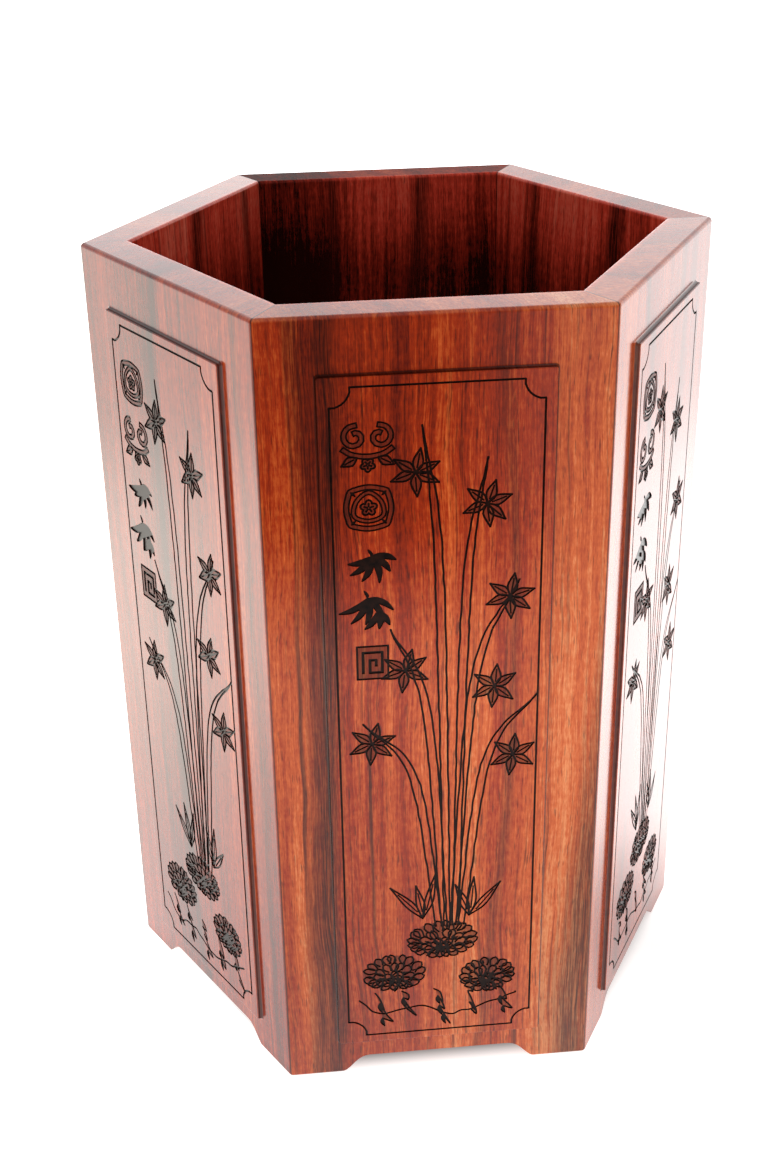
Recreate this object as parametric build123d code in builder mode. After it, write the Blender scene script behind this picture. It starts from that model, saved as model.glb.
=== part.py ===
from build123d import *
from math import cos, pi
import os

# Hexagonal hardwood brush pot, in millimetres. Z is up, the feet stand on Z = 0, the Z axis is
# the middle of the pot, and the front side board faces -Y. The pot's corners lie at 0, 60, ...
# 300 degrees, so two of them are on the X axis.

# --- driving dimensions -------------------------------------------------------------------
SIDE = 57.0  # outer length of one side, which is also the radius to a corner
HEIGHT = 150.0
WALL = 7.6  # thickness of a side board

CORNER_ROUND = 1.0  # rounding of the six upright corners
RIM_ROUND = 0.8  # easing of the rim's outer edge
RIM_INNER_ROUND = 0.5  # easing of the rim's inner edge
FOOT_ROUND = 0.8  # easing of the bottom outer edge

PANEL_WIDTH = 38.0  # flat top of the raised panel
PANEL_BOTTOM = 7.9
PANEL_TOP = 140.5
PANEL_RAISE = 0.9
PANEL_CORNER = 0.4
PANEL_COVE = 0.55  # hollow moulding where the panel rises from the board
PANEL_EDGE = 0.25  # rounding of the panel's top edge

APRON_HEIGHT = 4.0  # clear height under the board, between its two feet
APRON_HALF_WIDTH = 20.0  # from the board's middle to where a foot begins
APRON_CURVE = 7.0  # length of the S-shaped curve from the foot up to the apron

BASE_UNDERSIDE = 6.0
BASE_THICKNESS = 6.0
BASE_EDGE = 0.4  # easing of the base board's upper edge
TONGUE_LENGTH = 3.0  # how far the base board's tongue reaches into the side boards
TONGUE_THICKNESS = 3.0
TONGUE_BOTTOM = 7.5
TONGUE_GAP = 0.3  # room for the base board to swell

SPLINE_RADIUS = 52.0  # from the pot's axis to the middle of a spline
SPLINE_THICKNESS = 2.0
SPLINE_WIDTH = 6.0  # half of it in each of the two boards
SPLINE_BOTTOM = 16.0
SPLINE_TOP = 138.0
SPLINE_END_GAP = 0.2  # room for glue at the bottom of a slot

# --- derived dimensions -------------------------------------------------------------------
OUTER_FLAT = SIDE * cos(pi / 6)  # from the axis to the outer face of a board
INNER_FLAT = OUTER_FLAT - WALL
PANEL_HEIGHT = PANEL_TOP - PANEL_BOTTOM
PANEL_MIDDLE = (PANEL_TOP + PANEL_BOTTOM) / 2
APRON_FLAT_END = APRON_HALF_WIDTH - APRON_CURVE
CORNER_STEP = 60.0  # degrees from one side or corner to the next
FRONT_LEFT_CORNER = 240.0  # the front board runs from this corner one step on

SIDE_NAMES = ("front", "front_right", "back_right", "back", "back_left", "front_left")
CORNER_NAMES = ("front_left", "front_right", "right", "back_right", "back_left", "left")

os.makedirs("parts", exist_ok=True)


def write_piece(piece, name):
    """Labels a finished piece and writes it as its own STEP file."""
    piece.part.label = name
    export_step(piece.part, f"parts/{name}.step")


# --- front side board ---------------------------------------------------------------------
# An upright-grain board, mitred at both ends. It is cut from the whole six-sided tube, so that
# the rounded corners and eased edges run on from board to board.
with BuildPart() as front_board:
    with BuildSketch():
        RegularPolygon(OUTER_FLAT, 6, major_radius=False)
        fillet(vertices(), CORNER_ROUND)
    extrude(amount=HEIGHT)
    fillet(edges().group_by(Axis.Z)[-1], RIM_ROUND)
    fillet(edges().group_by(Axis.Z)[0], FOOT_ROUND)
    with BuildSketch():
        RegularPolygon(INNER_FLAT, 6, major_radius=False)
    extrude(amount=HEIGHT, mode=Mode.SUBTRACT)
    rim_face = faces().sort_by(Axis.Z)[-1]
    fillet(rim_face.inner_wires()[0].edges(), RIM_INNER_ROUND)

    # the wedge between the mitre planes of two neighbouring corners
    with BuildSketch():
        with BuildLine():
            wedge_ends = [
                Vector(2 * SIDE, 0).rotate(Axis.Z, FRONT_LEFT_CORNER + turn) for turn in (0, CORNER_STEP)
            ]
            Polyline((0, 0), *wedge_ends, close=True)
        make_face()
    extrude(amount=HEIGHT, mode=Mode.INTERSECT)

    # the raised panel, with a hollow moulding round its foot
    with BuildSketch(Plane((0, -OUTER_FLAT, PANEL_MIDDLE), x_dir=(1, 0, 0), z_dir=(0, -1, 0))):
        RectangleRounded(PANEL_WIDTH, PANEL_HEIGHT, PANEL_CORNER)
    extrude(amount=PANEL_RAISE)
    panel_face = faces().sort_by(Axis.Y)[0]
    fillet(panel_face.outer_wire().edges(), PANEL_EDGE)
    board_face = faces().filter_by(Axis.Y).sort_by(Axis.Y)[1]
    fillet(board_face.inner_wires()[0].edges(), PANEL_COVE)

    # the apron between the two feet
    with BuildSketch(Plane.XZ):
        with BuildLine():
            rise = Bezier(
                (APRON_HALF_WIDTH, 0),
                (APRON_HALF_WIDTH - APRON_CURVE / 2, 0),
                (APRON_HALF_WIDTH - APRON_CURVE / 2, APRON_HEIGHT),
                (APRON_FLAT_END, APRON_HEIGHT),
            )
            mirror(rise, about=Plane.YZ)
            Line((-APRON_FLAT_END, APRON_HEIGHT), (APRON_FLAT_END, APRON_HEIGHT))
            Polyline(
                (APRON_HALF_WIDTH, 0),
                (APRON_HALF_WIDTH, -APRON_HEIGHT),
                (-APRON_HALF_WIDTH, -APRON_HEIGHT),
                (-APRON_HALF_WIDTH, 0),
            )
        make_face()
    extrude(amount=SIDE, mode=Mode.SUBTRACT)

    # the groove that the base board's tongue sits in
    with BuildSketch(Plane.XY.offset(TONGUE_BOTTOM)):
        RegularPolygon(INNER_FLAT + TONGUE_LENGTH + TONGUE_GAP, 6, major_radius=False)
    extrude(amount=TONGUE_THICKNESS, mode=Mode.SUBTRACT)

    # half of the spline's slot in each mitre, stopped below the rim
    with BuildSketch(Plane.XY.offset(SPLINE_BOTTOM - SPLINE_END_GAP)):
        with PolarLocations(SPLINE_RADIUS, 2, FRONT_LEFT_CORNER, CORNER_STEP, endpoint=True):
            Rectangle(SPLINE_THICKNESS, SPLINE_WIDTH + 2 * SPLINE_END_GAP)
    extrude(amount=SPLINE_TOP - SPLINE_BOTTOM + 2 * SPLINE_END_GAP, mode=Mode.SUBTRACT)

# --- the six side boards ------------------------------------------------------------------
for step, side in enumerate(SIDE_NAMES):
    with BuildPart() as side_board:
        add(front_board.part, rotation=(0, 0, CORNER_STEP * step))
    write_piece(side_board, f"side_board_{side}")

# --- the six splines that lock the mitres -------------------------------------------------
for step, corner in enumerate(CORNER_NAMES):
    with BuildPart() as mitre_spline:
        with BuildSketch(Plane.XY.offset(SPLINE_BOTTOM)):
            with PolarLocations(SPLINE_RADIUS, 1, FRONT_LEFT_CORNER + CORNER_STEP * step):
                Rectangle(SPLINE_THICKNESS, SPLINE_WIDTH)
        extrude(amount=SPLINE_TOP - SPLINE_BOTTOM)
    write_piece(mitre_spline, f"mitre_spline_{corner}")

# --- base board ---------------------------------------------------------------------------
# A hexagon that fills the inside, with a tongue all round that floats in the boards' grooves.
with BuildPart() as base_board:
    with BuildSketch(Plane.XY.offset(BASE_UNDERSIDE)):
        RegularPolygon(INNER_FLAT, 6, major_radius=False)
    extrude(amount=BASE_THICKNESS)
    fillet(edges().group_by(Axis.Z)[-1], BASE_EDGE)
    with BuildSketch(Plane.XY.offset(TONGUE_BOTTOM)):
        RegularPolygon(INNER_FLAT + TONGUE_LENGTH, 6, major_radius=False)
    extrude(amount=TONGUE_THICKNESS)
write_piece(base_board, "base_board")
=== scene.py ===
import math
import random

import bmesh
import bpy
from mathutils import Matrix, Vector
from mathutils.geometry import delaunay_2d_cdt


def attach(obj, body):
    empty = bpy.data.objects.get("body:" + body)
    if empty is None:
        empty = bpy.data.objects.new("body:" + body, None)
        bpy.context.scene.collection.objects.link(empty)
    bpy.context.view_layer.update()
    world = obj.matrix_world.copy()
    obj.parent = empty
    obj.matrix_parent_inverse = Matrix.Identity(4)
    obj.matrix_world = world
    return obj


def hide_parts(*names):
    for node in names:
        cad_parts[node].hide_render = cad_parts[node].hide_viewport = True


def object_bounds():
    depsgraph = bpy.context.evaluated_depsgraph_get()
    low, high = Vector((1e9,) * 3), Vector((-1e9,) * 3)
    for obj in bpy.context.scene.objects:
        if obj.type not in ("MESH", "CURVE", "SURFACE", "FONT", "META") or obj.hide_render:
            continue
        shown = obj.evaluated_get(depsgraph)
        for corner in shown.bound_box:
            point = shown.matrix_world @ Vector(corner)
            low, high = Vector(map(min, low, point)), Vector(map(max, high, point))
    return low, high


# A six-sided rosewood brush pot. The CAD boards keep their shape. Each gets a wood of its own,
# and its raised panel is cut again with an engraved drawing, burnt dark. Lengths are in metres
# in the row frame, except in the drawings, which are in millimetres on the panel.

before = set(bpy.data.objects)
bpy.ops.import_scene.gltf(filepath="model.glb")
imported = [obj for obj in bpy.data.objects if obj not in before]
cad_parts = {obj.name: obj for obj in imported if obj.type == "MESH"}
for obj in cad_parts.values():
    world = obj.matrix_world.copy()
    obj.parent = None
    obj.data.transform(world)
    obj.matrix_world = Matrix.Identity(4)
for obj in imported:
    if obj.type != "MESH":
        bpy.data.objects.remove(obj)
cad_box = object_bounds()
MM = 0.001
PANEL_RAISE = 0.9  # millimetres from a board's flat border up to its raised panel

BOARD_TURNS = {  # degrees about Z from the front board, whose outer face looks along -Y
    "front": 0,
    "front_right": 60,
    "back_right": 120,
    "back": 180,
    "back_left": 240,
    "front_left": 300,
}


# --- camera ---------------------------------------------------------------------------------
CAMERA_AZIMUTH = math.radians(-5.55)
CAMERA_ELEVATION = math.radians(26.55)
CAMERA_ROLL = math.radians(-0.95)
CAMERA_DISTANCE = 0.3284
CAMERA_TARGET = Vector((-0.0031, 0.0, 0.0791))
CAMERA_LENS_MM = 51.1


def add_camera():
    """A camera that looks at the target from the azimuth and elevation above."""
    flat = math.cos(CAMERA_ELEVATION)
    back = Vector(
        (
            math.sin(CAMERA_AZIMUTH) * flat,
            -math.cos(CAMERA_AZIMUTH) * flat,
            math.sin(CAMERA_ELEVATION),
        )
    )
    level_right = Vector((math.cos(CAMERA_AZIMUTH), math.sin(CAMERA_AZIMUTH), 0))
    right = Matrix.Rotation(CAMERA_ROLL, 3, back) @ level_right
    up = back.cross(right)
    data = bpy.data.cameras.new("camera")
    data.lens = CAMERA_LENS_MM
    data.sensor_width = 36
    data.clip_start = 0.01
    camera = bpy.data.objects.new("camera", data)
    place = Matrix((right, up, back)).transposed().to_4x4()
    place.translation = CAMERA_TARGET + back * CAMERA_DISTANCE
    camera.matrix_world = place
    bpy.context.scene.collection.objects.link(camera)
    bpy.context.scene.camera = camera


add_camera()


# --- shader helpers -------------------------------------------------------------------------
def linear(red, green, blue):
    """A colour given in screen values from 0 to 255, as Blender's linear colour."""
    parts = []
    for value in (red, green, blue):
        part = value / 255
        parts.append(part / 12.92 if part <= 0.04045 else ((part + 0.055) / 1.055) ** 2.4)
    return (*parts, 1.0)


class Shader:
    """A node tree under construction. A socket argument is a number, a colour or an output."""

    def __init__(self, tree):
        self.tree = tree
        self.tree.nodes.clear()

    def node(self, kind, sockets=None, **settings):
        made = self.tree.nodes.new(kind)
        for name, value in settings.items():
            setattr(made, name, value)
        for name, value in (sockets or {}).items():
            self.feed(made.inputs[name], value)
        return made

    def feed(self, socket, value):
        if isinstance(value, bpy.types.NodeSocket):
            self.tree.links.new(value, socket)
        else:
            socket.default_value = value

    def math(self, operation, first, second=0.0, third=0.0, clamp=False):
        made = self.node("ShaderNodeMath", operation=operation, use_clamp=clamp)
        for socket, value in zip(made.inputs, (first, second, third)):
            self.feed(socket, value)
        return made.outputs[0]

    def vector(self, operation, first, second=(0, 0, 0)):
        made = self.node("ShaderNodeVectorMath", operation=operation)
        self.feed(made.inputs[0], first)
        self.feed(made.inputs[1], second)
        return made.outputs[0]

    def distance(self, first, second):
        made = self.node("ShaderNodeVectorMath", {0: first, 1: second}, operation="DISTANCE")
        return made.outputs["Value"]

    def combine(self, x, y, z):
        return self.node("ShaderNodeCombineXYZ", {"X": x, "Y": y, "Z": z}).outputs[0]

    def split(self, vector):
        return self.node("ShaderNodeSeparateXYZ", {"Vector": vector}).outputs

    def remap(self, value, low, high, to_low=0.0, to_high=1.0, smooth=True):
        kind = "SMOOTHSTEP" if smooth else "LINEAR"
        sockets = {"Value": value, "From Min": low, "From Max": high}
        sockets.update({"To Min": to_low, "To Max": to_high})
        return self.node("ShaderNodeMapRange", sockets, interpolation_type=kind).outputs[0]

    def noise(self, vector, scale=1.0, detail=2.0, roughness=0.5):
        sockets = {"Vector": vector, "Scale": scale, "Detail": detail, "Roughness": roughness}
        return self.node("ShaderNodeTexNoise", sockets).outputs["Fac"]

    def mix(self, factor, first, second, blend="MIX"):
        made = self.node("ShaderNodeMix", data_type="RGBA", blend_type=blend)
        self.feed(made.inputs[0], factor)
        self.feed(made.inputs[6], first)
        self.feed(made.inputs[7], second)
        return made.outputs[2]

    def ramp(self, value, stops, interpolation="LINEAR"):
        """A colour ramp. stops are (position, colour) from left to right."""
        made = self.node("ShaderNodeValToRGB", {"Fac": value})
        elements = made.color_ramp.elements
        made.color_ramp.interpolation = interpolation
        while len(elements) < len(stops):
            elements.new(1.0)
        for element, (position, colour) in zip(elements, stops):
            element.position = position
            element.color = colour
        return made.outputs[0]


def new_material(name):
    material = bpy.data.materials.new(name)
    material.use_nodes = True
    return material, Shader(material.node_tree)


# --- floor and light ------------------------------------------------------------------------
FLOOR_SIZE = 8.0
GLOW_FRONT = 0.5  # light that the floor gives off by itself, in front of the pot
GLOW_BEHIND = 2.7  # and behind it
GLOW_LEFT = 0.82  # added far to the left
GLOW_COLOUR = (1.0, 0.99, 0.98, 1.0)
GLOW_COLOUR_LEFT = (1.0, 0.96, 0.86, 1.0)
SHADE = Vector((0.054, -0.018, 0))  # middle of the pot's soft shade on the floor
COS_30 = math.cos(math.radians(30))
FOOT_LINE = -cad_box[0].y - PANEL_RAISE * MM  # from the axis to the flat face of a board
FLOOR_DIM = 0.24  # distance from the pot where the floor starts to dim


def add_floor():
    """A pale floor like a lit table, brightest beside and behind the pot."""
    half = FLOOR_SIZE / 2
    mesh = bpy.data.meshes.new("floor")
    corners = [(-half, -half, 0), (half, -half, 0), (half, half, 0), (-half, half, 0)]
    mesh.from_pydata(corners, [], [(0, 1, 2, 3)])
    floor = bpy.data.objects.new("floor", mesh)
    bpy.context.scene.collection.objects.link(floor)
    material, shader = new_material("floor_paper")
    place = shader.node("ShaderNodeTexCoord").outputs["Object"]
    x, y, z = shader.split(place)
    behind = shader.remap(y, -0.11, 0.07)
    paper = shader.noise(shader.vector("MULTIPLY", place, (900, 900, 900)), detail=3)
    grey = shader.remap(paper, 0.3, 0.7, 0, 0.06)
    colour = shader.mix(grey, linear(242, 242, 240), linear(225, 225, 223))
    rise = shader.math("MULTIPLY_ADD", behind, GLOW_BEHIND - GLOW_FRONT, GLOW_FRONT)
    rise = shader.math("ADD", rise, shader.remap(x, -0.09, -0.19, 0, GLOW_LEFT))
    rise = shader.math("MULTIPLY", rise, shader.remap(shader.distance(place, SHADE), 0.0, 0.05, 0.35, 1))
    # painted contact shadow: within the pot's outline the floor's colour is painted dark grey and its
    # glow is taken away
    out = shader.math("ABSOLUTE", y)
    for sign in (-1, 1):
        slanted = shader.math("MULTIPLY_ADD", x, COS_30 * sign, shader.math("MULTIPLY", y, 0.5))
        out = shader.math("MAXIMUM", out, shader.math("ABSOLUTE", slanted))
    under = shader.remap(out, FOOT_LINE + 0.002, FOOT_LINE - 0.007)
    colour = shader.mix(under, colour, linear(80, 82, 78))
    rise = shader.math("MULTIPLY", rise, shader.math("SUBTRACT", 1.0, under))
    far = shader.remap(shader.distance(place, (0, 0, 0)), FLOOR_DIM, FLOOR_DIM + 0.16, 1, 0.65)
    rise = shader.math("MULTIPLY", rise, far)
    tint = shader.mix(shader.remap(x, 0.0, -0.15), GLOW_COLOUR, GLOW_COLOUR_LEFT)
    surface = shader.node(
        "ShaderNodeBsdfPrincipled",
        {
            "Base Color": colour,
            "Roughness": 0.8,
            "Specular IOR Level": 0.0,
            "Emission Color": tint,
            "Emission Strength": rise,
        },
    )
    shader.node("ShaderNodeOutputMaterial", {"Surface": surface.outputs[0]})
    mesh.materials.append(material)


STUDIO_FRONT = 0.33  # strength of the studio's white walls on the camera's side
STUDIO_HORIZON = 0.35  # added low down all round
STUDIO_ABOVE = 0.35  # added overhead
BACK_WALL_LOW = 2.2  # behind the pot, near the horizon
BACK_WALL_HIGH = 1.1  # and higher up
BACK_WALL_LEFT = 0.95  # share of that light at the far left
LAMP_WATTS = 13.5
LAMP_PLACE = Vector((0.02, -0.62, 0.40))
LAMP_TARGET = Vector((0.010, -0.05, 0.075))


def add_light():
    """A white studio, brighter behind the pot, and one soft lamp near the camera."""
    world = bpy.data.worlds.new("studio")
    bpy.context.scene.world = world
    world.use_nodes = True
    shader = Shader(world.node_tree)
    x, y, z = shader.split(shader.node("ShaderNodeTexCoord").outputs["Generated"])
    back_wall = shader.remap(z, 0.15, 0.35, BACK_WALL_LOW, BACK_WALL_HIGH)
    back_wall = shader.math("MULTIPLY", back_wall, shader.remap(x, -0.1, 0.3, BACK_WALL_LEFT, 1))
    walls = shader.math("MULTIPLY_ADD", shader.remap(y, 0.2, 0.85), back_wall, STUDIO_FRONT)
    walls = shader.math("ADD", walls, shader.remap(z, 0.02, 0.3, STUDIO_HORIZON, 0))
    strength = shader.math("ADD", walls, shader.remap(z, 0.4, 0.9, 0, STUDIO_ABOVE))
    background = shader.node("ShaderNodeBackground", {"Color": (1, 1, 1, 1), "Strength": strength})
    shader.node("ShaderNodeOutputWorld", {"Surface": background.outputs[0]})
    bpy.context.scene.view_settings.view_transform = "Standard"

    lamp = bpy.data.lights.new("lamp", "SPOT")
    lamp.energy = LAMP_WATTS
    lamp.spot_size = math.radians(13)
    lamp.spot_blend = 1.0
    lamp.shadow_soft_size = 0.06
    stand = bpy.data.objects.new("lamp", lamp)
    stand.visible_glossy = False
    stand.location = LAMP_PLACE
    stand.rotation_euler = (LAMP_TARGET - LAMP_PLACE).to_track_quat("-Z", "Y").to_euler()
    bpy.context.scene.collection.objects.link(stand)


add_floor()
add_light()


# --- drawing: strokes on a panel, in millimetres, x to the right and z up ------------------
LINE = 0.36  # width of a fine burnt line
BAND_LINE = LINE * 0.85  # width of the lines beside a broad stroke
RIB_LINE = LINE * 0.8  # width of a leaf's rib
STEP = 0.6  # length of one piece of a curved line
SHARP = math.radians(65)  # a line that turns more than this at a point starts afresh there


def curve_through(knots, closed=False):
    """Points about STEP apart on a smooth curve through the knots."""
    knots = [Vector(k) for k in knots]
    if closed:
        knots = [knots[-1]] + knots + knots[:2]
    else:
        knots = [knots[0] * 2 - knots[1]] + knots + [knots[-1] * 2 - knots[-2]]
    points = []
    for before, start, end, after in zip(knots, knots[1:], knots[2:], knots[3:]):
        steps = max(1, round((end - start).length / STEP))
        for k in range(steps):
            t = k / steps
            line = (end - before) * t
            bend = (before * 2 - start * 5 + end * 4 - after) * t**2
            twist = (start * 3 - before - end * 3 + after) * t**3
            points.append(start + (line + bend + twist) * 0.5)
    return points if closed else points + [knots[-2]]


def direction(degrees):
    return Vector((math.cos(math.radians(degrees)), math.sin(math.radians(degrees))))


def sideways(vector):
    return Vector((-vector.y, vector.x))


def edges_of(points, widths):
    """The two edges of a line of the given widths, mitred at its bends."""
    left, right = [], []
    for i, (point, width) in enumerate(zip(points, widths)):
        ahead = (points[min(i + 1, len(points) - 1)] - point).normalized()
        behind = (point - points[max(i - 1, 0)]).normalized()
        run = (ahead + behind).normalized()
        spread = max(0.6, run.dot(ahead if i + 1 < len(points) else behind))
        half = sideways(run) * (width / 2 / spread)
        left.append(point + half)
        right.append(point - half)
    return left, right


class Drawing:
    """The burnt lines of one panel, as small convex pieces, and the scorched areas between."""

    def __init__(self, seed, weight):
        self.random = random.Random(seed)
        self.weight = weight
        self.pieces = []
        self.scorched = []

    def vary(self, amount):
        return self.random.uniform(-amount, amount)

    def pick(self, low, high):
        return self.random.uniform(low, high)

    def line(self, points, width=LINE):
        """Straight lines through the points."""
        points = [Vector(point) for point in points]
        chain = points[:1]
        for previous, point, following in zip(points, points[1:], points[2:]):
            chain.append(point)
            if (point - previous).angle(following - point, 0) > SHARP:
                self.strip(chain, width)
                chain = [point]
        self.strip(chain + points[-1:], width)

    def curve(self, knots, width=LINE, closed=False):
        """A smooth line through the knots."""
        points = curve_through(knots, closed)
        self.line(points + points[:1] if closed else points, width)

    def brush(self, knots, width):
        """A thick stroke that swells and then ends in a point."""
        points = curve_through(knots)
        last = len(points) - 1
        swell = [0.12 + 0.95 * math.sin(math.pi * (0.08 + 0.88 * k / last)) for k in range(last + 1)]
        self.quads(points, [width * self.weight * share for share in swell], self.pieces)

    def band(self, knots, width, closed=False):
        """A broad stroke drawn as two fine outlines, with scorched wood between them."""
        points = curve_through(knots, closed)
        if closed:
            points += points[:1]
        widths = [width] * len(points)
        left, right = edges_of(points, widths)
        self.quads(points, widths, self.scorched)
        self.line(left, BAND_LINE)
        self.line(right, BAND_LINE)
        if not closed:
            self.line([left[0], right[0]], BAND_LINE)
            self.line([left[-1], right[-1]], BAND_LINE)

    def strip(self, points, width):
        """A line of even width, without sharp turns, a little longer than its points."""
        points = [p for i, p in enumerate(points) if i == 0 or (p - points[i - 1]).length > 1e-3]
        if len(points) < 2:
            return
        reach = width * 0.35
        first = points[0] + (points[0] - points[1]).normalized() * reach
        last = points[-1] + (points[-1] - points[-2]).normalized() * reach
        points = [first] + points[1:-1] + [last]
        self.quads(points, [width * self.weight] * len(points), self.pieces)

    def quads(self, points, widths, store):
        left, right = edges_of(points, widths)
        for k in range(len(points) - 1):
            store.append((left[k], right[k], right[k + 1], left[k + 1]))

    def scorch(self, outline):
        self.scorched.append([Vector(point) for point in outline])


# --- drawing: the things drawn --------------------------------------------------------------
def scooped_frame(art, half_width, bottom, top, scoop):
    """The plain line round a panel, with a scoop and two small steps at each corner."""
    steps = 6
    arc = [math.radians(14 + (90 - 28) * k / steps) for k in range(steps + 1)]
    for right in (-1, 1):
        side = right * half_width
        art.line([(side, bottom + scoop), (side, top - scoop)])
        for up, end in ((1, top), (-1, bottom)):
            ring = [Vector((side, end)) for _ in arc]
            for point, angle in zip(ring, arc):
                point -= Vector((right * math.sin(angle), up * math.cos(angle))) * scoop
            art.line([(side, ring[0].y), ring[0]])
            art.line(ring)
            art.line([ring[-1], (ring[-1].x, end)])
    for end in (bottom, top):
        art.line([(-half_width + scoop, end), (half_width - scoop, end)])


def leaf(art, base, angle, length, width, bend, filled=False):
    """A pointed leaf with a rib. bend curls the tip to the left of its direction."""
    base = Vector(base)
    run = direction(angle)
    side = sideways(run)
    tip = base + run * length + side * (length * bend)
    belly = base + run * (length * 0.42) + side * (length * bend * 0.25)
    left = [base, belly + side * (width / 2), tip]
    right = [base, belly - side * (width / 2), tip]
    art.curve(left)
    art.curve(right)
    art.curve([base + run * (length * 0.2), belly, belly.lerp(tip, 0.6)], RIB_LINE)
    if filled:
        art.scorch(curve_through(left) + curve_through(right)[-2:0:-1])


def leaf_tuft(art, base, angles, length, width):
    """Several open leaves from one point."""
    for angle in angles:
        stretch = length * (1 + art.vary(0.18))
        leaf(art, base, angle + art.vary(6), stretch, width, 0.12)


def petal(art, base, angle, length, width):
    """A rounded petal, open at its base."""
    base = Vector(base)
    run = direction(angle) * length
    side = sideways(direction(angle)) * (width / 2)
    belly = base + run * 0.6
    art.curve([base + side * 0.4, belly + side, base + run, belly - side, base - side * 0.4])


def disc(centre, half_width, half_height, points=20):
    centre = Vector(centre)
    turns = [direction(360 * k / points) for k in range(points)]
    return [centre + Vector((turn.x * half_width, turn.y * half_height)) for turn in turns]


def blossom(art, centre, radius, turn):
    """A five-petalled blossom with stamens, scorched inside."""
    centre = Vector(centre)
    knots = []
    for k in range(30):
        lobe = 0.66 + 0.34 * abs(math.sin(math.radians(30 * k)))
        knots.append(centre + direction(12 * k + turn) * (radius * lobe))
    art.curve(knots, closed=True)
    for k in range(5):
        run = direction(72 * k + turn + 36) * radius
        art.line([centre + run * 0.16, centre + run * 0.55])
    art.scorch(knots)


def flower_head(art, centre, half_width, half_height, size):
    """A full flower head: rings of curled petals round a low core, with a scalloped edge."""
    centre = Vector(centre)
    hub = centre - Vector((0, half_height * 0.35))
    art.scorch(disc(centre, half_width * 0.96, half_height * 0.96))
    rings = max(2, round((half_width + half_height) / (size * 1.7)))
    for ring in range(rings, 0, -1):
        share = ring / rings
        middle = hub.lerp(centre, share)
        around = math.pi * (half_width + half_height) * share
        count = max(5, round(around / (size * 0.82)))
        for k in range(count):
            turned = direction(360 * (k + 0.5 * (ring % 2)) / count + art.vary(7))
            tip = middle + Vector((turned.x * half_width, turned.y * half_height)) * share
            outward = math.degrees(math.atan2(tip.y - hub.y, tip.x - hub.x)) + art.vary(16)
            length = size * art.pick(0.85, 1.2)
            width = size * art.pick(0.62, 0.85)
            petal(art, tip - direction(outward) * length, outward, length, width)
            if k % 3 == 0 and share < 1:
                run = direction(outward) * size
                art.brush([tip, tip + run * 0.3, tip + run * 0.6], LINE * 1.7)


def ragged_edge(art, top, bottom, reach):
    """A line that droops in hooked tongues one below another, like a stony edge."""
    top = Vector(top)
    length = (Vector(bottom) - top).length
    along = (Vector(bottom) - top).normalized()
    side = sideways(along) * reach
    knots = [top]
    done = 0.0
    while done < length:
        tall = art.pick(1.6, 4.8)
        root = top + along * done + side * art.vary(0.15)
        bulge = root + along * (tall * art.pick(0.3, 0.5)) + side * art.pick(0.3, 0.75)
        tip = root + along * tall + side * art.pick(0.35, 1.3)
        back = root + along * (tall * art.pick(0.45, 0.75)) + side * art.pick(-0.2, 0.25)
        knots += [bulge, tip, back]
        art.scorch([root, bulge, tip, back])
        if art.random.random() < 0.6:
            art.brush([back, back + along * 0.9 - side * 0.15, back + along * art.pick(1.6, 2.6)], 0.8)
        done += tall * art.pick(0.6, 1.05)
    art.curve(knots)


def worn_curve(art, knots, wear):
    """A line drawn by hand: smooth through the knots, with a small wander between them."""
    points = curve_through(knots)[::3]
    points.append(Vector(knots[-1]))
    wandered = [p + Vector((art.vary(wear), art.vary(wear))) for p in points[1:-1]]
    art.curve([points[0], *wandered, points[-1]])


# --- drawing: the column of ornaments at the left of each panel -----------------------------
COLUMN_X = -11.2


def cloud_scroll(art, centre, size):
    """Two curls above a hanging arc with a leaf on each side."""
    centre = Vector(centre)
    for sign in (-1, 1):
        hub = centre + Vector((0.5 * size * sign, 0.36 * size))
        knots = []
        for k in range(12):
            turned = direction(80 + 36 * k) * (size * (0.52 - 0.032 * k))
            knots.append(hub + Vector((turned.x * -sign, turned.y)))
        art.band(knots, size * 0.2)
        base = centre + Vector((sign * size * 0.42, -size * 0.5))
        leaf(art, base, 90 - sign * 118, size * 0.72, size * 0.4, 0, True)
    hanging = [(-1.02, -0.1), (-0.62, -0.36), (0, -0.46), (0.62, -0.36), (1.02, -0.1)]
    art.band([centre + Vector(point) * size for point in hanging], size * 0.2)
    blossom(art, centre - Vector((0, size * 0.82)), size * 0.3, 18)


def lattice_roundel(art, centre, size):
    """A rounded square ring round a knotted lattice and a small blossom."""
    centre = Vector(centre)
    knots = []
    for k in range(24):
        run = direction(15 * k)
        square = 0.35 / max(abs(run.x), abs(run.y)) + 0.65
        knots.append(centre + run * (size * 0.88 * square))
    art.band(knots, size * 0.2, closed=True)
    shares = [0.56 + 0.1 * (k % 2) for k in range(6)]
    knot = [centre + direction(60 * k + 30) * size * share for k, share in enumerate(shares)]
    art.band(knot, size * 0.16, closed=True)
    for k in range(4):
        run = direction(90 * k + 45)
        art.brush([centre + run * size * 0.72, centre + run * size * 0.9, centre + run * size], 0.6)
    blossom(art, centre, size * 0.34, 54)


def brushed_leaves(art, top, length, angles):
    """A fan of solid leaves that hang from one short stem."""
    top = Vector(top)
    art.brush([top + Vector((-0.5, length * 0.3)), top + Vector((0.1, length * 0.1)), top], 0.6)
    for angle in angles:
        run = direction(angle) * length * art.pick(0.85, 1.1)
        swell = sideways(run) * 0.1
        art.brush([top, top + run * 0.3 + swell, top + run * 0.65 + swell, top + run], 1.15)


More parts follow.
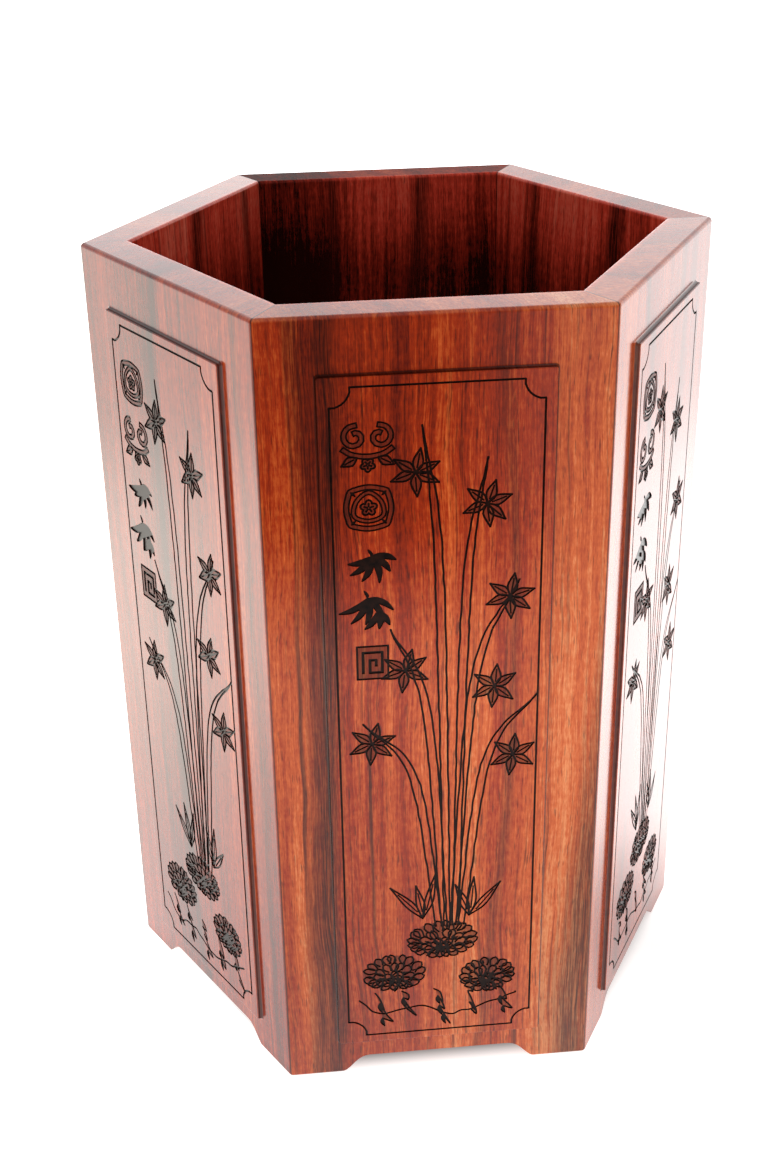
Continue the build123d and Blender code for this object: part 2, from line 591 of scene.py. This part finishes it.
def fret_square(art, centre, half_width, half_height):
    """A small upright rectangle with a squared spiral in it, scorched between the lines."""
    centre = Vector(centre)
    corners = [(-1, -1), (1, -1), (1, 1), (-1, 1)]
    square = [centre + Vector((x * half_width, z * half_height)) for x, z in corners]
    art.line(square + square[:1])
    art.scorch(square)
    spiral = [(-0.62, -0.62), (-0.62, 0.62), (0.62, 0.62), (0.62, -0.62), (-0.18, -0.62)]
    spiral += [(-0.18, 0.15), (0.22, 0.15), (0.22, -0.2)]
    art.line([centre + Vector((x * half_width, z * half_height)) for x, z in spiral], 0.5)


def ornament_column(art, first, second):
    """Two large ornaments, three small fans of leaves and a square fret, from the top down."""
    first(art, (COLUMN_X, 129.0), 4.0)
    second(art, (COLUMN_X, 118.3), 4.1)
    brushed_leaves(art, (COLUMN_X + 0.2, 109.6), 4.6, (196, 222, 250, 285, 318, 350))
    brushed_leaves(art, (COLUMN_X - 0.6, 102.0), 5.2, (208, 238, 266, 300, 332))
    brushed_leaves(art, (COLUMN_X + 1.0, 99.4), 3.6, (235, 275, 310))
    fret_square(art, (COLUMN_X + 0.1, 90.0), 2.6, 3.1)


# --- drawing: the picture -------------------------------------------------------------------
FRAME_HALF_WIDTH = 17.1
FRAME_BOTTOM = 9.7
FRAME_TOP = 138.8
FRAME_SCOOP = 3.4
BLADE_FOOT = 34  # height at which the long blades start


def orchid_on_bank(art):
    """Long arching blades over a stony bank, with a few open flowers."""
    blades = ((1.0, -9, 62), (2.5, 11, 70), (3.0, 5, 92), (1.5, -4, 98), (4.0, 13, 48), (0.0, -13, 44))
    for base_x, reach, height in blades:
        foot = Vector((base_x, BLADE_FOOT))
        head = Vector((base_x + reach, BLADE_FOOT + height))
        arch = foot.lerp(head, 0.62) + Vector((-reach * 0.28, height * 0.12))
        for width in (-0.55, 0.55):
            knots = [foot + Vector((width, 0)), arch + Vector((width * 1.3, 0)), head]
            worn_curve(art, knots, 0.08)
    for centre in ((-3.6, 124), (8.0, 118), (12.0, 101), (-5.6, 88), (9.6, 84), (-11.5, 74), (13.0, 70)):
        for angle in (20, 75, 140, 200, 265, 320):
            leaf(art, centre, angle + art.vary(10), 4.2, 1.7, 0.08, True)
    flower_head(art, (0.6, 31.0), 6.5, 4.2, 2.1)
    flower_head(art, (-8.4, 24.0), 5.8, 4.2, 2.1)
    flower_head(art, (9.0, 22.0), 5.2, 4.0, 2.1)
    worn_curve(art, [(-15, 18), (-11, 14.4), (-4, 15.6), (2, 13.4), (9, 15.0), (14.4, 17.4)], 0.3)
    for x in (-12, -7, -1, 5, 11):
        ragged_edge(art, (x, 19.5), (x + 1, 14.8), 1.4)
    leaf_tuft(art, (-3.0, 36.0), (70, 95, 120), 9.0, 1.5)
    leaf_tuft(art, (5.5, 36.0), (50, 80, 100), 8.0, 1.5)


PANEL_ORNAMENTS = {  # board: (upper ornament, second ornament)
    "front": (cloud_scroll, lattice_roundel),
    "front_right": (lattice_roundel, cloud_scroll),
    "back_right": (cloud_scroll, lattice_roundel),
    "back": (lattice_roundel, cloud_scroll),
    "back_left": (cloud_scroll, lattice_roundel),
    "front_left": (lattice_roundel, cloud_scroll),
}


FIRST_SEED = 11
LINE_WEIGHTS = {"front": 1.0}  # board: share of the line widths, if it isn't the usual
USUAL_LINE_WEIGHT = 1.2


def draw_panel(side):
    """All the lines of one panel."""
    seed = FIRST_SEED + sorted(PANEL_ORNAMENTS).index(side)
    art = Drawing(seed, LINE_WEIGHTS.get(side, USUAL_LINE_WEIGHT))
    scooped_frame(art, FRAME_HALF_WIDTH, FRAME_BOTTOM, FRAME_TOP, FRAME_SCOOP)
    first, second = PANEL_ORNAMENTS[side]
    ornament_column(art, first, second)
    orchid_on_bank(art)
    return art


# --- engraved boards ------------------------------------------------------------------------
GROOVE_DEPTH = 0.25 * MM
SMOOTH_ANGLE = math.radians(32)
WOOD_SLOT, BURNT_SLOT, SCORCHED_SLOT = 0, 1, 2


def anticlockwise(corners):
    area = sum(a.x * b.y - b.x * a.y for a, b in zip(corners, corners[1:] + corners[:1]))
    return list(corners) if area > 0 else list(reversed(corners))


def engrave(mesh, side, art):
    """Cuts the drawing into the flat top of the board's raised panel.

    The top is taken out and filled again with triangles, split along every line of the
    drawing. The triangles inside a line are set lower, and a wall joins them to the rest.
    """
    to_front = Matrix.Rotation(math.radians(-BOARD_TURNS[side]), 4, "Z")
    mesh.transform(to_front)
    bm = bmesh.new()
    bm.from_mesh(mesh)
    bmesh.ops.remove_doubles(bm, verts=bm.verts, dist=1e-6)
    level = min(v.co.y for v in bm.verts)
    top = [f for f in bm.faces if all(abs(v.co.y - level) < 1e-6 for v in f.verts)]
    rim = [e for e in {e for f in top for e in f.edges} if sum(f in top for f in e.link_faces) == 1]
    bmesh.ops.delete(bm, geom=top, context="FACES_KEEP_BOUNDARY")

    outline = [rim[0].verts[0], rim[0].verts[1]]
    left = set(rim[1:])
    while left:
        step = next(e for e in left if outline[-1] in e.verts)
        left.remove(step)
        outline.append(step.other_vert(outline[-1]))
    outline.pop()
    flat = [Vector((v.co.x, v.co.z)) / MM for v in outline]
    if anticlockwise(flat) != flat:
        outline.reverse()
        flat.reverse()

    points = list(flat)
    faces = [list(range(len(flat)))]
    for outline_points in art.pieces + art.scorched:
        start = len(points)
        points += anticlockwise(list(outline_points))
        faces.append(list(range(start, len(points))))
    found, _, triangles, origins, _, sources = delaunay_2d_cdt(points, [], faces, 1, 1e-5, True)

    raised = {}
    sunk = {}

    def vertex(index, lowered):
        made = sunk if lowered else raised
        if index not in made:
            own = [k for k in origins[index] if k < len(outline)]
            if own and not lowered:
                made[index] = outline[own[0]]
            else:
                depth = GROOVE_DEPTH if lowered else 0
                made[index] = bm.verts.new((found[index].x * MM, level + depth, found[index].y * MM))
        return made[index]

    last_line = len(art.pieces)
    edge_sides = {}
    for triangle, group in zip(triangles, sources):
        lowered = any(0 < source <= last_line for source in group)
        face = bm.faces.new([vertex(k, lowered) for k in triangle])
        if lowered:
            face.material_index = BURNT_SLOT
        elif any(source > last_line for source in group):
            face.material_index = SCORCHED_SLOT
        for a, b in zip(triangle, triangle[1:] + triangle[:1]):
            edge_sides.setdefault(frozenset((a, b)), []).append((lowered, a, b))
    for uses in edge_sides.values():
        if len(uses) == 2 and uses[0][0] != uses[1][0]:
            low = uses[0] if uses[0][0] else uses[1]
            _, a, b = low
            wall = bm.faces.new([vertex(b, True), vertex(a, True), vertex(a, False), vertex(b, False)])
            wall.material_index = BURNT_SLOT
    bmesh.ops.recalc_face_normals(bm, faces=bm.faces)
    bm.to_mesh(mesh)
    bm.free()
    mesh.transform(to_front.inverted())
    mesh.attributes.remove(mesh.attributes["custom_normal"])
    mesh.shade_smooth()
    mesh.set_sharp_from_angle(angle=SMOOTH_ANGLE)


def weighted_normals(piece):
    """Keeps large flat faces flat where they meet a rounded edge."""
    modifier = piece.modifiers.new("flat faces", "WEIGHTED_NORMAL")
    modifier.keep_sharp = True
    modifier.weight = 100


def copy_node(name, piece_name):
    """A new piece with the CAD node's shape, which stands for that node."""
    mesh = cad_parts[name].data.copy()
    mesh.materials.clear()
    piece = bpy.data.objects.new(piece_name, mesh)
    bpy.context.scene.collection.objects.link(piece)
    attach(piece, "root")
    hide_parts(name)
    return piece


# --- woods ----------------------------------------------------------------------------------
DARK_VEIN = linear(36, 12, 7)
DEEP_RED = linear(92, 22, 9)
RED = linear(150, 44, 12)
ORANGE = linear(196, 90, 38)
PALE = linear(220, 136, 84)
SCORCH = linear(50, 30, 25)
BARE_WOOD = [  # tone and colour of the wood inside, which is bare and a deeper red
    (0.12, linear(30, 8, 5)),
    (0.35, linear(135, 36, 22)),
    (0.6, linear(215, 68, 48)),
    (0.95, linear(238, 118, 92)),
]
COAT_IOR = 1.5
OUTER_FACE = -cad_box[0].y / MM  # from the axis to the front board's panel
BORDER_FACE = OUTER_FACE - PANEL_RAISE  # to the flat border round the panel
WALL = 7.6  # millimetres through a board
INNER_FACE = BORDER_FACE - WALL
RIM_HEIGHT = cad_box[1].z / MM
EVEN_SHINE = (1.0, 1.0, 1.0)
WORN_FROM, WORN_TO = 84, 118  # heights between which the front board's varnish wears thin


def rosewood(
    name, turn, seed, tones, streaks=(), shine=EVEN_SHINE, rim=(0.1, 1.0), low_paler=0.0, scorched=False
):
    """Polished rosewood with upright grain.

    turn is the board's angle about Z, so that x runs across the board. tones are
    (place across the board in millimetres, tone from 0, dark, to 1, pale). streaks are dark
    bands: (place at the rim, at half height and at the foot, half width, strength). shine is
    the share of varnish on the lower part, at the upper left and at the upper right. rim is
    how much paler the end grain at the rim is, and its share of the varnish. low_paler is how
    much paler the board is painted below than near the rim, as painted light for the stronger
    light lower down. scorched wood is darkened by the burning between two engraved lines.
    """
    low_shine, high_shine, high_right_shine = shine
    rim_paler, rim_shine = rim
    material, shader = new_material(name)
    place = shader.node("ShaderNodeTexCoord").outputs["Object"]
    turned = shader.node(
        "ShaderNodeMapping",
        {
            "Vector": place,
            "Rotation": (0, 0, math.radians(-turn)),
            "Scale": (1 / MM, 1 / MM, 1 / MM),
        },
    ).outputs[0]
    x, y, z = shader.split(turned)
    offset = 37.0 * seed

    # the grain lines wander sideways as they rise, and lean a little into the board
    slow = shader.combine(
        shader.math("MULTIPLY_ADD", x, 0.02, offset),
        shader.math("MULTIPLY", y, 0.02),
        shader.math("MULTIPLY", z, 0.012),
    )
    drift = shader.math("SUBTRACT", shader.noise(slow, 1.0, 2), 0.5)
    quick = shader.combine(
        shader.math("MULTIPLY_ADD", x, 0.12, offset),
        shader.math("MULTIPLY", y, 0.12),
        shader.math("MULTIPLY", z, 0.05),
    )
    waver = shader.math("SUBTRACT", shader.noise(quick, 1.0, 2), 0.5)
    across = shader.math("MULTIPLY_ADD", drift, 6.0, x)
    across = shader.math("MULTIPLY_ADD", waver, 1.2, across)
    across = shader.math("MULTIPLY_ADD", shader.math("ADD", y, OUTER_FACE), 0.35, across)

    def grain(per_mm, stretch, detail=3.0, roughness=0.55, shift=0.0):
        """Noise in the grain's own direction: per_mm features across, stretched upward."""
        vector = shader.combine(
            shader.math("MULTIPLY_ADD", across, per_mm, offset + shift),
            shader.math("MULTIPLY", y, per_mm * 0.4),
            shader.math("MULTIPLY", z, per_mm / stretch),
        )
        return shader.noise(vector, 1.0, detail, roughness)

    share = shader.remap(across, -30, 30, 0, 1, smooth=False)
    stops = [((at + 30) / 60, (tone, tone, tone, 1)) for at, tone in tones]
    tone = shader.ramp(share, stops, "EASE")
    bands = grain(0.22, 40, 3.0)
    lines = grain(1.1, 60, 4.0, 0.6, 5.0)
    fibres = grain(5.0, 45, 3.0, 0.6, 9.0)
    on_rim = shader.remap(z, RIM_HEIGHT - 0.8, RIM_HEIGHT - 0.2)
    tone = shader.math("MULTIPLY_ADD", shader.math("SUBTRACT", bands, 0.5), 0.5, tone)
    tone = shader.math("MULTIPLY_ADD", shader.math("SUBTRACT", lines, 0.5), 0.62, tone)
    tone = shader.math("MULTIPLY_ADD", shader.math("SUBTRACT", fibres, 0.5), 0.5, tone)
    tone = shader.math("MULTIPLY_ADD", on_rim, rim_paler, tone)
    # painted light: the board's tone is painted paler below than near the rim
    if low_paler:
        tone = shader.math("ADD", tone, shader.remap(z, 135, 80, 0, low_paler))
    inside = shader.remap(y, -INNER_FACE - 1.5, -INNER_FACE)
    # painted shade and light inside: the inner wall's tone is painted darker deep down and paler near
    # the rim
    near_rim = shader.remap(z, RIM_HEIGHT - 24, RIM_HEIGHT - 2, smooth=False)
    painted_inner_shading = shader.remap(near_rim, 0, 1, -0.18, 0.18)
    tone = shader.math("MULTIPLY_ADD", inside, painted_inner_shading, tone)
    # painted shade: the side walls of the raised panel's step are darkened
    raised = shader.math("SUBTRACT", BORDER_FACE * -1, y)
    painted_step_shade = shader.math(
        "MULTIPLY",
        shader.remap(raised, 0.02, 0.1),
        shader.remap(raised, PANEL_RAISE - 0.02, PANEL_RAISE - 0.15),
    )

    # a faint ripple across the grain, and small flecks where fibres dip out of the surface
    ripple_at = shader.combine(
        shader.math("MULTIPLY_ADD", across, 0.3, offset),
        shader.math("MULTIPLY", y, 0.3),
        shader.math("MULTIPLY", z, 0.9),
    )
    ripple = shader.math("SUBTRACT", shader.noise(ripple_at, 1.0, 3), 0.5)
    tone = shader.math("MULTIPLY_ADD", ripple, 0.16, tone)
    speckle = shader.math("SUBTRACT", grain(2.4, 4, 3.0, 0.65, 43.0), 0.5)
    tone = shader.math("MULTIPLY_ADD", speckle, 0.5, tone)
    colour = shader.ramp(
        tone, [(0.0, DARK_VEIN), (0.22, DEEP_RED), (0.5, RED), (0.78, ORANGE), (1.0, PALE)]
    )
    colour = shader.mix(inside, colour, shader.ramp(tone, BARE_WOOD))

    # dark veins, then the pores: short dark dashes along the grain
    veins = shader.remap(grain(0.5, 70, 3.0, 0.5, 14.0), 0.62, 0.74, 0, 0.75)
    threads = shader.remap(grain(1.7, 90, 2.0, 0.5, 31.0), 0.58, 0.72, 0, 0.5)
    dark = shader.math("MAXIMUM", veins, threads)
    height_share = shader.math("DIVIDE", z, RIM_HEIGHT)
    for at_rim, half_way, at_foot, half_width, strength in streaks:
        bow = 2 * (at_rim + at_foot) - 4 * half_way
        slope = shader.math("MULTIPLY_ADD", height_share, bow, at_rim - at_foot - bow)
        centre = shader.math("MULTIPLY_ADD", height_share, slope, at_foot)
        off = shader.math("ABSOLUTE", shader.math("SUBTRACT", across, centre))
        ragged = shader.math("MULTIPLY_ADD", lines, half_width * 2.4, half_width * 0.2)
        streak = shader.math("SUBTRACT", 1.0, shader.math("DIVIDE", off, ragged), clamp=True)
        patchy = shader.math("MULTIPLY", shader.remap(fibres, 0.3, 0.7, 1.25, 0.6), strength)
        streak = shader.math("MULTIPLY", shader.remap(streak, 0, 0.9), patchy)
        dark = shader.math("MAXIMUM", dark, streak)
    dark = shader.math("MULTIPLY", dark, shader.remap(on_rim, 0, 1, 1, 0.4))
    colour = shader.mix(dark, colour, DARK_VEIN)
    # painted shade: the step's walls are mixed toward dark
    colour = shader.mix(shader.math("MULTIPLY", painted_step_shade, 0.8), colour, DARK_VEIN)
    pores = shader.remap(grain(3.6, 14, 1.0, 0.5, 21.0), 0.62, 0.72)
    colour = shader.mix(shader.math("MULTIPLY", pores, 0.55), colour, DARK_VEIN)

    # the glue line where two boards meet at a mitre
    beside = shader.math("MULTIPLY", shader.math("ABSOLUTE", x), 0.866)
    to_mitre = shader.math("SUBTRACT", shader.math("MULTIPLY", y, -0.5), beside)
    seam = shader.remap(to_mitre, 0.22, 0.05, 0, 0.75)
    colour = shader.mix(seam, colour, DARK_VEIN)
    if scorched:
        colour = shader.mix(shader.remap(lines, 0.2, 0.8, 0.4, 0.7), colour, SCORCH)

    height = shader.math("MULTIPLY_ADD", pores, -1.0, shader.math("MULTIPLY", fibres, 0.35))
    bump = shader.node("ShaderNodeBump", {"Strength": 0.12, "Distance": 0.0002, "Height": height})
    rough = shader.math("MULTIPLY_ADD", pores, 0.25, shader.remap(fibres, 0.3, 0.7, 0.38, 0.5))
    coat = low_shine * 0.6 if scorched else low_shine
    if high_shine != low_shine:
        upper = shader.remap(x, -2, 26, high_shine * coat, high_right_shine * coat)
        coat = shader.remap(z, WORN_FROM, WORN_TO, coat, upper)
    if rim_shine != high_shine and not scorched:
        coat = shader.remap(on_rim, 0, 1, coat, rim_shine)
    surface = shader.node(
        "ShaderNodeBsdfPrincipled",
        {
            "Base Color": colour,
            "Roughness": rough,
            "Specular IOR Level": 0.0,
            "Normal": bump.outputs[0],
            "Coat Weight": coat,
            "Coat Roughness": 0.4 if scorched else 0.16,
            "Coat IOR": COAT_IOR,
        },
    )
    shader.node("ShaderNodeOutputMaterial", {"Surface": surface.outputs[0]})
    return material


def burnt_line(name, shine, cover):
    """The scorched floor and walls of an engraved line. cover is how much varnish fills it."""
    low_shine, high_shine = shine[0] * cover, shine[1] * cover
    material, shader = new_material(name)
    place = shader.node("ShaderNodeTexCoord").outputs["Object"]
    scorch = shader.noise(place, 900.0, 3)
    colour = shader.ramp(scorch, [(0.3, linear(14, 9, 8)), (0.7, linear(36, 19, 14))])
    rough = shader.remap(scorch, 0.3, 0.7, 0.5, 0.7)
    coat = low_shine
    if high_shine != low_shine:
        z = shader.split(place)[2]
        coat = shader.remap(z, WORN_FROM * MM, WORN_TO * MM, low_shine, high_shine)
    grit = shader.noise(place, 6000.0, 2)
    bump = shader.node("ShaderNodeBump", {"Strength": 0.3, "Distance": 0.0001, "Height": grit})
    surface = shader.node(
        "ShaderNodeBsdfPrincipled",
        {
            "Base Color": colour,
            "Roughness": rough,
            "Specular IOR Level": 0.0,
            "Normal": bump.outputs[0],
            "Coat Weight": coat,
            "Coat Roughness": 0.3,
        },
    )
    shader.node("ShaderNodeOutputMaterial", {"Surface": surface.outputs[0]})
    return material


BOARD_TONES = {  # board: its tones from left to right, seen from outside
    "front": [
        (-28, 0.44), (-22, 0.46), (-19, 0.32), (-16, 0.34), (-9, 0.4), (-5, 0.34), (-2, 0.46), (2, 0.56),
        (6, 0.54), (9.5, 0.36), (13, 0.45), (18, 0.58), (22, 0.73), (25, 0.65), (28, 0.66),
    ],
    "front_right": [(-28, 0.62), (-20, 0.6), (-12, 0.46), (0, 0.52), (14, 0.42), (28, 0.45)],
    "back_right": [(-28, 0.44), (-12, 0.3), (4, 0.54), (16, 0.36), (28, 0.5)],
    "back": [
        (-28, 0.34), (-18, 0.3), (-12, 0.34), (-6, 0.4), (0, 0.44),
        (8, 0.36), (14, 0.18), (19, 0.06), (28, 0.16),
    ],
    "back_left": [(-28, 0.46), (-14, 0.52), (0, 0.38), (14, 0.54), (28, 0.4)],
    "front_left": [(-28, 0.34), (-16, 0.4), (-4, 0.26), (4, 0.38), (14, 0.44), (22, 0.5), (28, 0.44)],
}

BOARD_STREAKS = {  # board: dark bands, as rosewood() takes them
    "front": [
        (-22.0, -20.0, -22.5, 2.2, 0.62),
        (-17.0, -18.3, -19.5, 2.3, 0.75),
        (10.0, 12.5, 7.0, 1.0, 0.45),
        (38.0, 30.5, 25.5, 4.6, 0.75),
    ],
    "front_left": [(-2.0, -3.5, -1.0, 1.6, 0.7), (22.5, 24.0, 26.0, 1.2, 0.6)],
    "front_right": [(-12.0, -10.0, -14.0, 1.4, 0.6), (9.0, 7.0, 12.0, 1.8, 0.6)],
    "back": [(-6.0, -3.0, -8.0, 2.2, 0.8), (13.0, 12.0, 16.0, 1.4, 0.7)],
    "back_left": [(4.0, 8.0, 5.0, 2.6, 0.85), (-15.0, -17.0, -13.0, 1.5, 0.7)],
    "back_right": [(-9.0, -6.0, -11.0, 2.4, 0.85), (16.0, 15.0, 19.0, 1.6, 0.7)],
}
RIM_FINISH = {  # board: as rosewood() takes it
    "front": (0.15, 0.9),
    "front_left": (0.1, 1.0),
    "back": (0.05, 0.12),
    "back_right": (0.1, 0.7),
}
USUAL_RIM_FINISH = (0.1, 1.0)
VARNISH = {"front": (1.0, 0.1, 0.8)}  # board: its shine, as rosewood() takes it, if it isn't full
LINE_VARNISH = {"front_left": 0.55, "front_right": 0.8}  # board: share of varnish in its lines
USUAL_LINE_VARNISH = 0.3
LOW_PALER = {"front": 0.2}  # board: how much paler it is painted below, as painted light, if it is

for number, (side, turn) in enumerate(BOARD_TURNS.items()):
    piece = copy_node(f"side_board_{side}", f"engraved_board_{side}")
    engrave(piece.data, side, draw_panel(side))
    wood = {"turn": turn, "seed": number + 1, "tones": BOARD_TONES[side]}
    wood["streaks"] = BOARD_STREAKS[side]
    wood["rim"] = RIM_FINISH.get(side, USUAL_RIM_FINISH)
    wood["shine"] = VARNISH.get(side, EVEN_SHINE)
    wood["low_paler"] = LOW_PALER.get(side, 0.0)
    line_varnish = LINE_VARNISH.get(side, USUAL_LINE_VARNISH)
    piece.data.materials.append(rosewood(f"rosewood_{side}", **wood))
    piece.data.materials.append(burnt_line(f"burnt_line_{side}", wood["shine"], line_varnish))
    piece.data.materials.append(rosewood(f"scorched_{side}", scorched=True, **wood))
    weighted_normals(piece)

BASE_TONES = [(-28, 0.5), (0, 0.6), (28, 0.45)]
SPLINE_TONES = [(-28, 0.5), (28, 0.5)]
base_wood = rosewood("rosewood_base", 0, 9, BASE_TONES, shine=(0.4, 0.4, 0.4), rim=(0.0, 0.4))
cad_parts["base_board"].data.materials.clear()
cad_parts["base_board"].data.materials.append(base_wood)
spline_wood = rosewood("rosewood_spline", 0, 11, SPLINE_TONES, shine=(0.0, 0.0, 0.0), rim=(0.0, 0.0))
for name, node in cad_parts.items():
    if name.startswith("mitre_spline"):
        node.data.materials.clear()
        node.data.materials.append(spline_wood)
